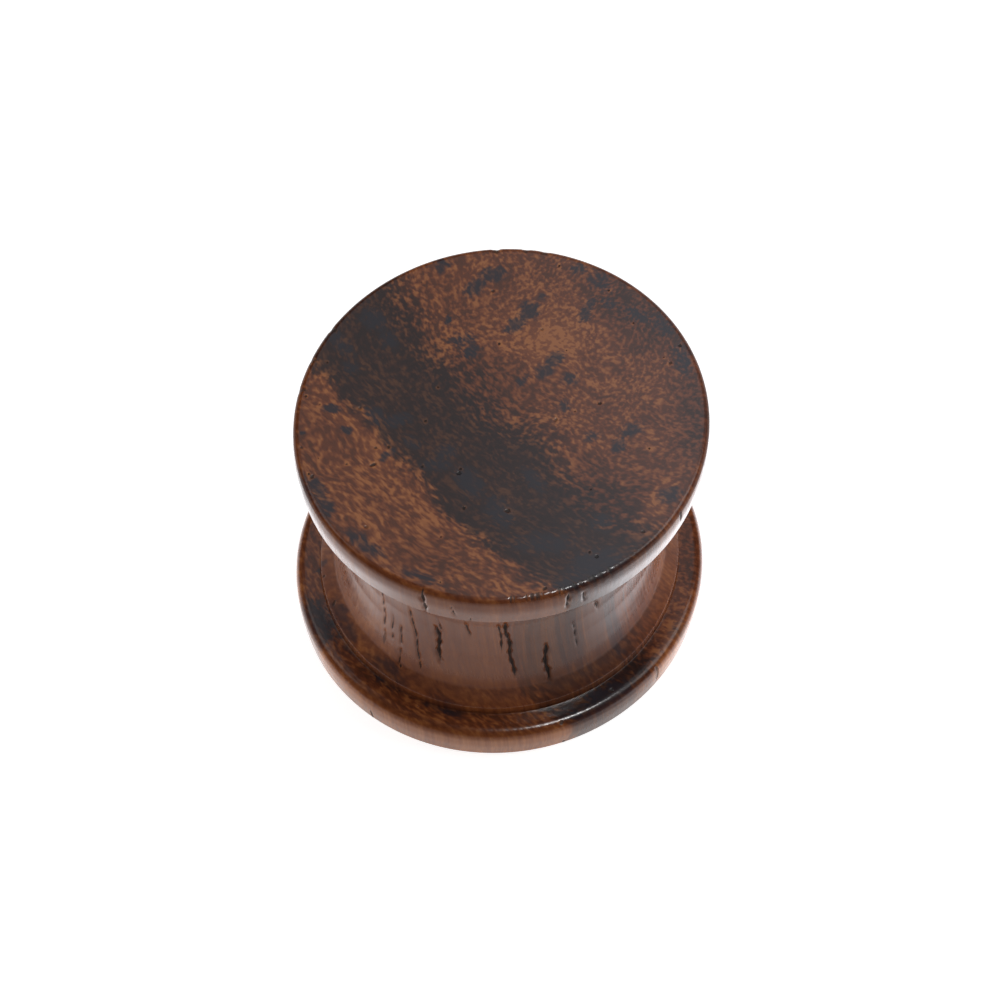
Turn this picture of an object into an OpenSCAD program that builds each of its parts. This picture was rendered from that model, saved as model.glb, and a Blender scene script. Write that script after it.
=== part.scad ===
// Double flared ear plug gauge, turned from one piece of dark wood.
// It stands on its lower end face, with the origin at the middle of that face and +Z along its axis.
// All sizes are millimetres. A height of a flare is measured from that flare's own end face.

/* [Plug] */
// Diameter at the waist of the wearing groove
gauge_d = 15.5; // [12:0.1:25]
// Whole length, from end face to end face
plug_l = 15; // [13:0.5:20]
// How far the barrel opens on the radius from its waist to each end
barrel_flare = 0.38; // [0.3:0.02:0.6]

/* [Upper flare] */
// How far the rim of the upper end face stands out past the waist
upper_rim_out = 2.23; // [2.15:0.01:2.4]
// How far the slightly bulged band stands out past the waist
upper_band_out = 2.27; // [2.2:0.01:2.32]
// How far the inner lip of the band stands out past the waist
upper_lip_out = 2.1; // [2:0.01:2.25]
// Height of the band, from the end face to the lip
upper_band_h = 2.15; // [2:0.05:2.5]
// Distance of the bulge from the end face
upper_bulge_h = 0.95; // [0.9:0.05:1.1]
// Rounding of the rim round the end face
upper_rim_r = 0.36; // [0.1:0.02:0.4]
// Rounding of the inner lip
upper_lip_r = 0.12; // [0.06:0.02:0.2]

/* [Lower flare] */
// How far the rim of the lower end face stands out past the waist
lower_rim_out = 2.13; // [2.05:0.01:2.3]
// How far the slightly bulged band stands out past the waist
lower_band_out = 2.29; // [2.2:0.01:2.34]
// How far the inner arris of the band stands out past the waist
lower_arris_out = 2.32; // [2.2:0.01:2.5]
// Height of the band, from the end face to the arris
lower_band_h = 2.05; // [1.9:0.05:2.5]
// Distance of the bulge from the end face
lower_bulge_h = 1; // [0.8:0.05:1.1]
// Rounding of the rim round the end face
lower_rim_r = 0.12; // [0.06:0.02:0.2]
// Rounding of the arris
lower_arris_r = 0.56; // [0.2:0.02:0.7]

/* [Step and cove] */
// How far the step at each end of the barrel stands out past the waist
step_out = 1.08; // [0.9:0.02:1.2]
// Height of the step above the flare's shoulder
step_h = 0.56; // [0.4:0.02:0.7]
// Rise of the shoulder from the arris in to the step
shoulder_rise = 0.07; // [0:0.01:0.1]
// Angle between the plug's axis and the slope from the cove out to the step
cove_angle = 44; // [36:1:50]
// Radius of the cove between the barrel and that slope
cove_r = 0.4; // [0.2:0.1:1.2]
// Rounding of the step's crest
crest_r = 0.1; // [0.06:0.02:0.14]
// Rounding of the fine groove at the foot of the step
quirk_r = 0.06; // [0.04:0.01:0.1]

/* [Hidden] */
$fn = 180;

waist_r = gauge_d / 2;
barrel_end_r = waist_r + barrel_flare;
bulge_r = 4;
waist_share = 0.7;
arc_step = 12;
arc_steps_min = 4;

// A corner of the outline is [radius, height from the end face, rounding]
function band_corners(rim_out, rim_r, band_out, bulge_h, lip_out, band_h, lip_r) = [
    [waist_r + rim_out, 0, rim_r],
    [waist_r + band_out, bulge_h, bulge_r],
    [waist_r + lip_out, band_h, lip_r]
];

// Foot and crest of the step, and the corner that the cove rounds
function step_corners(band_h) =
    let (foot_h = band_h + shoulder_rise)
    let (crest_h = foot_h + step_h)
    let (cove_h = crest_h + (step_out - barrel_flare) / tan(cove_angle))
    [
        [waist_r + step_out, foot_h, quirk_r],
        [waist_r + step_out, crest_h, crest_r],
        [barrel_end_r, cove_h, cove_r]
    ];

// The same corners at the upper end, in the order that goes up the outline
function turned_over(corners) =
    [for (i = [len(corners) - 1 : -1 : 0]) [corners[i][0], plug_l - corners[i][1], corners[i][2]]];

lower_band = band_corners(lower_rim_out, lower_rim_r, lower_band_out, lower_bulge_h,
                          lower_arris_out, lower_band_h, lower_arris_r);
upper_band = turned_over(band_corners(upper_rim_out, upper_rim_r, upper_band_out, upper_bulge_h,
                                      upper_lip_out, upper_band_h, upper_lip_r));
lower_step = step_corners(lower_band_h);
upper_step = turned_over(step_corners(upper_band_h));

// The waist is one long arc, and straight cones lead from it to the coves
barrel_low = lower_step[2][1];
barrel_high = upper_step[0][1];
half_barrel = (barrel_high - barrel_low) / 2;
cove_reach = cove_r * tan(cove_angle / 2);
waist_reach = waist_share * (half_barrel - cove_reach);
barrel_lean = atan(barrel_flare / (half_barrel - waist_reach / 2));
waist_corner = [
    waist_r - waist_reach * tan(barrel_lean / 2),
    (barrel_low + barrel_high) / 2,
    waist_reach / tan(barrel_lean)
];

corners = concat(lower_band, lower_step, [waist_corner], upper_step, upper_band);
axis_foot = [0, 0];
axis_top = [0, plug_l];

function point(corner) = [corner[0], corner[1]];
function toward(a, b) = (b - a) / norm(b - a);
function turned(v, angle) = [v[0] * cos(angle) - v[1] * sin(angle), v[0] * sin(angle) + v[1] * cos(angle)];

// The arc that rounds a corner, as points from its first tangent point to its last
function arc(before, corner, after, r) =
    let (back = toward(corner, before))
    let (ahead = toward(corner, after))
    let (half_angle = acos(back * ahead) / 2)
    let (start = corner + back * r / tan(half_angle))
    let (middle = corner + toward([0, 0], back + ahead) * r / sin(half_angle))
    let (turn = sign(cross(ahead, back)) * (180 - 2 * half_angle))
    let (steps = max(arc_steps_min, ceil(abs(turn) / arc_step)))
    [for (k = [0 : steps]) middle + turned(start - middle, turn * k / steps)];

// The outline up the outer side, with every corner rounded
function rounded(corners) =
    let (route = concat([axis_foot], [for (corner = corners) point(corner)], [axis_top]))
    [for (i = [1 : len(corners)]) each arc(route[i - 1], route[i], route[i + 1], corners[i - 1][2])];

// Half of the plug's lengthwise section
module section() {
    polygon(concat([axis_foot], rounded(corners), [axis_top]));
}

// The whole plug, one solid of revolution
module plug() {
    color("#5f4034")
        rotate_extrude()
            section();
}

plug();
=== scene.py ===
"""Looks of a double flared wooden ear plug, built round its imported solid.

The plug is one closed surface: the turned outline with its rounded corners, carried round the axis on a
grid of rows and columns, slightly oval as dried wood is, with a nicked upper rim and open pores cut into it.
The wood is one figure in space, so that the end faces, the barrel and the flares show the same rings,
streaks and dark stains where they cut through them.

Sizes are millimetres until a mesh, a lamp or the camera takes them in metres.
"""

import logging
import math
from dataclasses import dataclass
from enum import Enum

import bpy
import numpy as np
from bpy.types import ID, Material, Node, NodeTree, Object
from mathutils import Matrix, Vector


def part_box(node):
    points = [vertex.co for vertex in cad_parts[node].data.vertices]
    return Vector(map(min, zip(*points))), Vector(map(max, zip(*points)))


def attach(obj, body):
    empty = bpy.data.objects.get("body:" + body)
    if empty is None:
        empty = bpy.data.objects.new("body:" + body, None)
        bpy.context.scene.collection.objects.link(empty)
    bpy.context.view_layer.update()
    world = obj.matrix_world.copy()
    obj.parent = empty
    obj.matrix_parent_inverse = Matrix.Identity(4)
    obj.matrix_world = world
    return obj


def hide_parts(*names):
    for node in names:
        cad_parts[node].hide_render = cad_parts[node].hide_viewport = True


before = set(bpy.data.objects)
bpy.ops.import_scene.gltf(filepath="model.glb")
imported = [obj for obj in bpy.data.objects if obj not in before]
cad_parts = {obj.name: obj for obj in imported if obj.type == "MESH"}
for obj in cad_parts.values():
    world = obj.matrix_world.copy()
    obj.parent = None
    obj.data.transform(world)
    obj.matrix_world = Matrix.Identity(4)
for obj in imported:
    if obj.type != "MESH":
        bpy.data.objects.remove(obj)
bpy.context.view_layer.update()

MM = 0.001
PIECE_NAME = "plug_turned_wood"
NOISE_MIDDLE = (0.5, 0.5, 0.5)
ACROSS_GRAIN = (1.0, 1.0, 0.0)

# The node groups' sockets that are vectors, and not single values
VECTOR_SOCKETS = ("Place", "Ring place", "Swayed", "Spot")

# Short names of types: an input or output, all of a node's, what may feed one, a colour or sizes, two ends,
# names, and the azimuth, radius and height of the surface's points
Socket = bpy.types.NodeSocket
Sockets = bpy.types.bpy_prop_collection
Value = Socket | float | tuple[float, ...]
Triple = tuple[float, float, float]
Span = tuple[float, float]
Names = tuple[str, ...]
Grid = tuple[np.ndarray, np.ndarray, np.ndarray]

log = logging.getLogger("ear_plug")


class Channel(Enum):
    """Values that the plug's mesh carries to its finish, one for each vertex.

    Attributes:
        PORE: How far the vertex lies in an open pore, or how much painted shade a nick's wall takes, from 0
            to 1.
        END_GRAIN: How far the surface there cuts across the grain, from 0 to 1.
        COVE: How near the vertex lies to a cove's corner, from 0 to 1.
    """

    PORE = "pore"
    END_GRAIN = "end_grain"
    COVE = "cove"


@dataclass(frozen=True)
class Corner:
    """A corner of the turned outline, before it is rounded.

    Attributes:
        radius: Distance from the plug's axis, in mm.
        height: Height above the lower end face, in mm.
        rounding: Radius of the arc that rounds the corner, in mm.
    """

    radius: float
    height: float
    rounding: float


@dataclass(frozen=True)
class Flare:
    """One flared end: its band, and the step and cove between the band and the barrel.

    Heights are measured from the flare's own end face, and what stands out is measured from the waist.

    Attributes:
        rim_out: How far the rim of the end face stands out.
        rim_round: Rounding of that rim.
        band_out: How far the band's bulge stands out.
        bulge_height: Height of the bulge.
        edge_out: How far the band's inner edge stands out.
        band_height: Height of the band's inner edge.
        edge_round: Rounding of the inner edge.
    """

    rim_out: float
    rim_round: float
    band_out: float
    bulge_height: float
    edge_out: float
    band_height: float
    edge_round: float

    BULGE_ROUND = 4.0
    STEP_OUT = 1.08
    STEP_HEIGHT = 0.56
    SHOULDER_RISE = 0.07
    COVE_ANGLE = math.radians(44)
    COVE_ROUND = 0.4
    CREST_ROUND = 0.1
    QUIRK_ROUND = 0.06

    def corners(self, waist: float, barrel_end: float) -> list[Corner]:
        """Gives the flare's corners from its end face to the barrel.

        Args:
            waist: Radius of the barrel's waist.
            barrel_end: Radius of the barrel where the cove starts.

        Returns:
            The corners, with heights from the flare's own end face.
        """
        foot = self.band_height + self.SHOULDER_RISE
        crest = foot + self.STEP_HEIGHT
        cove = crest + (waist + self.STEP_OUT - barrel_end) / math.tan(self.COVE_ANGLE)
        return [
            Corner(waist + self.rim_out, 0.0, self.rim_round),
            Corner(waist + self.band_out, self.bulge_height, self.BULGE_ROUND),
            Corner(waist + self.edge_out, self.band_height, self.edge_round),
            Corner(waist + self.STEP_OUT, foot, self.QUIRK_ROUND),
            Corner(waist + self.STEP_OUT, crest, self.CREST_ROUND),
            Corner(barrel_end, cove, self.COVE_ROUND),
        ]


@dataclass(frozen=True)
class Outline:
    """The plug's lengthwise outline, as rows of the surface's grid.

    Attributes:
        length: Whole length, from end face to end face.
        waist: Radius at the waist of the barrel.
        barrel_flare: How far the barrel opens on the radius towards each cove.
        lower: The flare on which the plug stands.
        upper: The flare whose face is seen.
    """

    length: float
    waist: float
    barrel_flare: float
    lower: Flare
    upper: Flare

    WAIST_SHARE = 0.7
    TURN_STEP = math.radians(11)
    ARC_STEPS_MIN = 4
    ROW_STEP = 0.17
    FACE_RINGS = (0.0, 0.04, 0.14, 0.34, 0.6, 0.82, 0.94, 0.985)

    def corners(self) -> list[Corner]:
        """Lists every corner up the outer side, the long arc of the waist among them.

        Returns:
            The corners, with heights above the lower end face.
        """
        barrel_end = self.waist + self.barrel_flare
        low = self.lower.corners(self.waist, barrel_end)
        high = [
            Corner(corner.radius, self.length - corner.height, corner.rounding)
            for corner in reversed(self.upper.corners(self.waist, barrel_end))
        ]
        half = (high[0].height - low[-1].height) / 2
        reach = self.WAIST_SHARE * (half - Flare.COVE_ROUND * math.tan(Flare.COVE_ANGLE / 2))
        lean = math.atan(self.barrel_flare / (half - reach / 2))
        middle = (high[0].height + low[-1].height) / 2
        waist_corner = Corner(self.waist - reach * math.tan(lean / 2), middle, reach / math.tan(lean))
        return [*low, waist_corner, *high]

    def cove_corners(self) -> tuple[Corner, Corner]:
        """Finds the corners on either side of the waist's, which is in the middle of the list.

        Returns:
            The corner of the lower cove and that of the upper one.
        """
        corners = self.corners()
        middle = len(corners) // 2
        return corners[middle - 1], corners[middle + 1]

    def arc(self, before: np.ndarray, at: np.ndarray, after: np.ndarray, rounding: float) -> np.ndarray:
        """Rounds one corner.

        The arc's centre lies on the line that halves the corner, the rounding over the sine of the half
        angle away. The arc turns from its tangent point on the first side by 180 degrees less the corner.

        Args:
            before: The corner before, as radius and height.
            at: The corner that is rounded.
            after: The corner after it.
            rounding: Radius of the arc.

        Returns:
            The arc's points, one to a line.
        """
        back = (before - at) / np.linalg.norm(before - at)
        ahead = (after - at) / np.linalg.norm(after - at)
        half = math.acos(float(back @ ahead)) / 2
        halving = (back + ahead) / np.linalg.norm(back + ahead)
        centre = at + halving * rounding / math.sin(half)
        arm = at + back * rounding / math.tan(half) - centre
        turn = math.copysign(math.pi - 2 * half, ahead[0] * back[1] - ahead[1] * back[0])
        steps = max(self.ARC_STEPS_MIN, math.ceil(abs(turn) / self.TURN_STEP))
        angle = np.linspace(0.0, turn, steps + 1)
        cosine, sine = np.cos(angle), np.sin(angle)
        return centre + np.stack([arm[0] * cosine - arm[1] * sine, arm[0] * sine + arm[1] * cosine], 1)

    def rows(self) -> np.ndarray:
        """Works out the outline's points, from the middle of one face to the middle of the other.

        Returns:
            An array of radius and height, one row to a line. Stretches longer than a row step are divided.
        """
        corners = self.corners()
        stops = [(corner.radius, corner.height) for corner in corners]
        route = np.array([(0.0, 0.0), *stops, (0.0, self.length)])
        arcs = [self.arc(*route[i : i + 3], corner.rounding) for i, corner in enumerate(corners)]
        side = np.concatenate(arcs)
        stretch = np.diff(side, axis=0)
        parts = np.maximum(1, np.ceil(np.hypot(*stretch.T) / self.ROW_STEP)).astype(int)
        place = np.repeat(np.arange(len(parts)), parts)
        share = (np.arange(parts.sum()) - np.repeat(np.cumsum(parts) - parts, parts)) / parts[place]
        side = np.concatenate([side[place] + stretch[place] * share[:, None], side[-1:]])
        ring = np.array(self.FACE_RINGS)
        lower_face = np.stack([ring * side[0, 0], np.zeros_like(ring)], 1)
        upper_face = np.stack([ring[::-1] * side[-1, 0], np.full_like(ring, self.length)], 1)
        return np.concatenate([lower_face, side, upper_face])


@dataclass(frozen=True)
class Pore:
    """An open vessel of the wood that the turned surface cuts lengthwise into a groove.

    Attributes:
        azimuth: Where its upper end lies, in degrees from the front, positive to the right.
        top: Height of its upper end, in mm.
        bottom: Height of its lower end, in mm.
        width: Width of the groove, in mm.
        lean: How far it runs to the right for each mm down, in mm.
    """

    azimuth: float
    top: float
    bottom: float
    width: float
    lean: float

    DEPTH_SHARE = 0.75
    TAPER = 0.5
    WAVES = 2.6
    SWING = 0.22
    PINCH = 0.28
    PINCH_WAVES = 3 * WAVES


@dataclass(frozen=True)
class Nick:
    """A small piece broken out of the upper rim.

    Attributes:
        azimuth: Its middle, in degrees from the front, positive to the right.
        width: Its width along the rim, in mm.
        depth: How deep it goes, in mm.
    """

    azimuth: float
    width: float
    depth: float

    REACH = 0.45
    # Depth at which a nick's painted shade is full, and how strong that painted shade is
    NICK_SHADE_FULL_AT = 0.05
    NICK_SHADE = 0.6


# Open pores of the barrel, then of the upper band: azimuth, top, bottom, width, lean
PORES = tuple(Pore(*row) for row in (
    (-36.8, 6.4, 3.0, 0.1, 0.06),
    (-33.5, 8.6, 3.5, 0.13, 0.17),
    (-21.9, 8.6, 7.3, 0.1, 0.2),
    (-22.6, 7.9, 4.8, 0.26, 0.09),
    (-11.6, 9.0, 7.6, 0.13, 0.15),
    (-0.1, 9.1, 6.4, 0.14, 0.08),
    (2.0, 9.3, 4.2, 0.22, 0.1),
    (17.0, 6.5, 3.3, 0.26, 0.04),
    (36.4, 8.7, 7.4, 0.14, 0.3),
    (-46.0, 8.2, 4.6, 0.09, 0.1),
    (-41.0, 7.0, 4.4, 0.08, 0.08),
    (28.0, 7.6, 5.2, 0.09, 0.1),
    (-21.0, 15.3, 12.75, 0.2, 0.03),
    (-13.0, 14.4, 13.2, 0.1, 0.17),
    (19.3, 14.8, 13.3, 0.18, 0.02),
    (24.0, 14.5, 13.4, 0.16, 0.04),
    (-8.0, 13.4, 12.8, 0.12, 0.05),
))

# Nicks of the upper rim: azimuth, width, depth
NICKS = tuple(Nick(*row) for row in (
    (-177.9, 0.45, 0.16),
    (173.8, 0.5, 0.07),
    (168.4, 0.6, 0.07),
    (-122.0, 0.5, 0.09),
    (-110.5, 0.4, 0.06),
    (-99.9, 0.4, 0.08),
))


@dataclass(frozen=True)
class ChippedEdge:
    """The stretch of the upper rim where the edge has crumbled into many tiny chips.

    Attributes:
        start: Its left end, in degrees from the front.
        stop: Its right end, in degrees from the front.
        count: Number of chips.
        width: Least and greatest width of a chip, in mm.
        depth: Least and greatest depth of a chip, in mm.
        seed: Seed of the chips' places and sizes.
    """

    start: float = 3.0
    stop: float = 33.0
    count: int = 42
    width: Span = (0.08, 0.24)
    depth: Span = (0.03, 0.1)
    seed: int = 7

    def nicks(self) -> list[Nick]:
        """Scatters the chips.

        Returns:
            One nick for each chip.
        """
        draw = np.random.default_rng(self.seed)
        azimuths = draw.uniform(self.start, self.stop, self.count)
        widths = draw.uniform(*self.width, self.count)
        depths = draw.uniform(*self.depth, self.count)
        return [Nick(*chip) for chip in zip(azimuths.tolist(), widths.tolist(), depths.tolist())]


@dataclass(frozen=True)
class Sheet:
    """A node tree being drawn, with short calls for the nodes that the finishes use.

    What feeds an input is an output to link or a plain value to set.

    Attributes:
        tree: The tree of a material, a group or the room.
    """

    tree: NodeTree

    def feed(self, node: Node, values: dict[str | int, Value]) -> Sockets:
        """Feeds a node.

        Args:
            node: The node.
            values: What feeds its inputs, by their names or numbers.

        Returns:
            Its outputs.
        """
        for key, value in values.items():
            if isinstance(value, Socket):
                self.tree.links.new(value, node.inputs[key])
            else:
                node.inputs[key].default_value = value
        return node.outputs

    def add(self, kind: str, *inputs: Value, **settings: object) -> Node:
        """Adds a node.

        Args:
            kind: The node's type, without its ShaderNode prefix.
            *inputs: What feeds its inputs, in order.
            **settings: Properties to set on the node.

        Returns:
            The new node.
        """
        node = self.tree.nodes.new("ShaderNode" + kind)
        for name, value in settings.items():
            setattr(node, name, value)
        self.feed(node, dict(enumerate(inputs)))
        return node

    def maths(self, operation: str, *inputs: Value, clamp: bool = False) -> Socket:
        """Adds a Math node, fed in order, and gives its result."""
        return self.add("Math", *inputs, operation=operation, use_clamp=clamp).outputs[0]

    def vectors(self, operation: str, *inputs: Value) -> Socket:
        """Adds a Vector Math node, fed in order, and gives its vector."""
        return self.add("VectorMath", *inputs, operation=operation).outputs["Vector"]

    def scaled(self, vector: Value, factor: float) -> Socket:
        """Multiplies a vector by a factor."""
        return self.feed(self.add("VectorMath", vector, operation="SCALE"), {"Scale": factor})["Vector"]

    def length(self, vector: Value) -> Socket:
        """Measures a vector."""
        return self.add("VectorMath", vector, operation="LENGTH").outputs["Value"]

    def joined(self, *parts: Value) -> Socket:
        """Makes a vector of two or three parts."""
        return self.add("CombineXYZ", *parts).outputs[0]

    def split(self, vector: Value) -> Sockets:
        """Takes a vector apart into X, Y and Z."""
        return self.add("SeparateXYZ", vector).outputs

    def eased(self, value: Value, *ends: float) -> Socket:
        """Eases a value from 0 at a first place to 1 at a second, or between two levels given after them."""
        return self.add("MapRange", value, *ends, interpolation_type="SMOOTHSTEP").outputs["Result"]

    def mixed(self, share: Value, first: Value, second: Triple) -> Socket:
        """Mixes a share of a second colour into a first. Inputs 6 and 7 and output 2 are the colours."""
        return self.feed(self.add("Mix", share, data_type="RGBA"), {6: first, 7: (*second, 1.0)})[2]

    def carried(self, channel: Channel) -> Socket:
        """Reads a value that the mesh carries."""
        return self.add("Attribute", attribute_name=channel.value, attribute_type="GEOMETRY").outputs["Fac"]

    def group(self, tree: NodeTree, values: dict[str, Value]) -> Sockets:
        """Places a node group, feeds it and gives its outputs."""
        return self.feed(self.add("Group", node_tree=tree), values)

    def noise(self, place: Value, sizes: Triple, detail: float = 1.0, roughness: float = 0.5) -> Sockets:
        """Adds a noise.

        Args:
            place: Where it is read.
            sizes: Size of its grains in the three directions.
            detail: Number of finer noises added to it.
            roughness: How strong those are.

        Returns:
            Its outputs, Fac with a grey value and Color with three.
        """
        spread = self.vectors("DIVIDE", place, sizes)
        values = {"Vector": spread, "Scale": 1.0, "Detail": detail, "Roughness": roughness}
        return self.feed(self.add("TexNoise"), values)

    def summed(self, total: Value, *parts: tuple[Value, Value]) -> Socket:
        """Adds up shares.

        Args:
            total: What they are added to.
            *parts: Each value and its share.

        Returns:
            The sum.
        """
        for value, share in parts:
            total = self.maths("MULTIPLY_ADD", value, share, total)
        return total

    def ramp(self, value: Value, stops: tuple[tuple[float, Triple], ...]) -> Socket:
        """Turns a value into a colour.

        Args:
            value: The value, from 0 to 1.
            stops: Places on the ramp and their linear colours.

        Returns:
            The colour.
        """
        node = self.add("ValToRGB", value)
        elements = node.color_ramp.elements
        while len(elements) < len(stops):
            elements.new(1.0)
        for element, (place, colour) in zip(elements, stops):
            element.position = place
            element.color = (*colour, 1.0)
        return node.outputs["Color"]

    def curve(self, value: Value, points: list[Span]) -> Socket:
        """Turns a value into another by a smooth curve.

        Args:
            value: The value, from 0 to 1.
            points: Points on the curve, as pairs of value and result.

        Returns:
            The result.
        """
        node = self.add("FloatCurve")
        line = node.mapping.curves[0]
        while len(line.points) < len(points):
            line.points.new(1.0, 1.0)
        for point, place in zip(line.points, points):
            point.location = place
        node.mapping.update()
        return self.feed(node, {"Value": value})[0]


def new_group(name: str, inputs: Names, outputs: Names) -> tuple[Sheet, Sockets, Node]:
    """Starts a shader node group.

    Args:
        name: The group's name.
        inputs: Names of its inputs.
        outputs: Names of its outputs.

    Returns:
        The sheet to draw on, what comes in by name, and the node to feed with what goes out.
    """
    tree = bpy.data.node_groups.new(name, "ShaderNodeTree")
    for way, sockets in (("INPUT", inputs), ("OUTPUT", outputs)):
        for socket in sockets:
            kind = "NodeSocketVector" if socket in VECTOR_SOCKETS else "NodeSocketFloat"
            tree.interface.new_socket(socket, in_out=way, socket_type=kind)
    return Sheet(tree), tree.nodes.new("NodeGroupInput").outputs, tree.nodes.new("NodeGroupOutput")


def new_material(name: str) -> tuple[Material, Sheet, Node]:
    """Starts a material.

    Args:
        name: Its name.

    Returns:
        The material, the sheet to draw on, and its shader.
    """
    material = bpy.data.materials.new(name)
    material.use_nodes = True
    return material, Sheet(material.node_tree), material.node_tree.nodes["Principled BSDF"]


def placed(name: str, data: ID) -> Object:
    """Makes an object and links it to the scene.

    Args:
        name: Its name.
        data: Its mesh, lamp or camera.

    Returns:
        The object.
    """
    made = bpy.data.objects.new(name, data)
    bpy.context.scene.collection.objects.link(made)
    return made


@dataclass(frozen=True)
class Heart:
    """Where the tree's heart lay, beside the plug, and how its grain leans.

    Attributes:
        middle: Its place along X and Y, in mm.
        run_radius: Radius at which a ring's angle is turned into a length, in mm.
        lean: Shift of the grain along X and Y for each mm up.
        sway: How far the rings wander, in mm.
        sway_size: Size of the wandering across and along the grain, in mm.
        level: Height at which the figure is drawn, in mm.
    """

    middle: Span = (12.4, 13.9)
    run_radius: float = 18.0
    lean: Span = (-0.075, 0.0)
    sway: float = 1.3
    sway_size: Triple = (4.0, 4.0, 40.0)
    level: float = 15.0

    SWAY_DETAIL = 2.0
    FULL_TURN = 360.0

    def group(self) -> NodeTree:
        """Builds the group that turns a place on the plug into a place in the wood.

        The grain's place is the object's place in mm, slid back along the grain's lean to the level of
        the upper face. The ring is its distance from the heart, after a slow noise has swayed it, and
        the run is the angle about the heart times a set radius.

        Returns:
            The group, with outputs Place, Ring place (ring, run, height), Angle in degrees, Swayed (the
            swayed place) and Spot (the object's own place in mm).
        """
        sheet, _, out = new_group("wood_place", (), ("Place", "Ring place", "Angle", "Swayed", "Spot"))
        spot = sheet.scaled(sheet.add("TexCoord").outputs["Object"], 1 / MM)
        height = sheet.split(spot)["Z"]
        above = sheet.maths("SUBTRACT", height, self.level)
        lean = sheet.joined(*(sheet.maths("MULTIPLY", above, share) for share in self.lean))
        place = sheet.vectors("SUBTRACT", spot, lean)
        sway = sheet.noise(place, self.sway_size, self.SWAY_DETAIL)["Color"]
        shift = sheet.scaled(sheet.vectors("SUBTRACT", sway, NOISE_MIDDLE), self.sway)
        swayed = sheet.vectors("ADD", place, sheet.vectors("MULTIPLY", shift, ACROSS_GRAIN))
        flat = sheet.split(swayed)
        away = [sheet.maths("SUBTRACT", flat[axis], middle) for axis, middle in zip("XY", self.middle)]
        squares = [sheet.maths("MULTIPLY", part, part) for part in away]
        ring = sheet.maths("SQRT", sheet.maths("ADD", *squares))
        angle = sheet.maths("ARCTAN2", away[1], away[0])
        rings = sheet.joined(ring, sheet.maths("MULTIPLY", angle, self.run_radius), height)
        degrees = sheet.maths("ADD", sheet.maths("MULTIPLY", angle, math.degrees(1.0)), self.FULL_TURN)
        values = {"Place": place, "Ring place": rings, "Angle": degrees, "Swayed": swayed, "Spot": spot}
        sheet.feed(out, values)
        return sheet.tree


@dataclass(frozen=True)
class Stain:
    """A spot in the figure, an ellipse across the grain that runs on along it.

    Attributes:
        x: Place of its middle along X, in mm.
        y: Place of its middle along Y, in mm.
        long: Half of its length, in mm.
        wide: Half of its width, in mm.
        turn: Angle of its length from X, in degrees.
        depth: How strong it is, from 0 to 1.
    """

    x: float
    y: float
    long: float
    wide: float
    turn: float
    depth: float

    def away(self, sheet: Sheet, place: Socket) -> Socket:
        """Measures how far a place lies from the spot's middle.

        Args:
            sheet: The sheet to draw on.
            place: The place.

        Returns:
            The distance, where 1 is the spot's edge.
        """
        middle, half = (self.x, self.y, 0.0), (self.long, self.wide, 1.0)
        turn = (0.0, 0.0, math.radians(self.turn))
        return sheet.length(sheet.add("Mapping", place, middle, turn, half, vector_type="TEXTURE").outputs[0])


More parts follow.
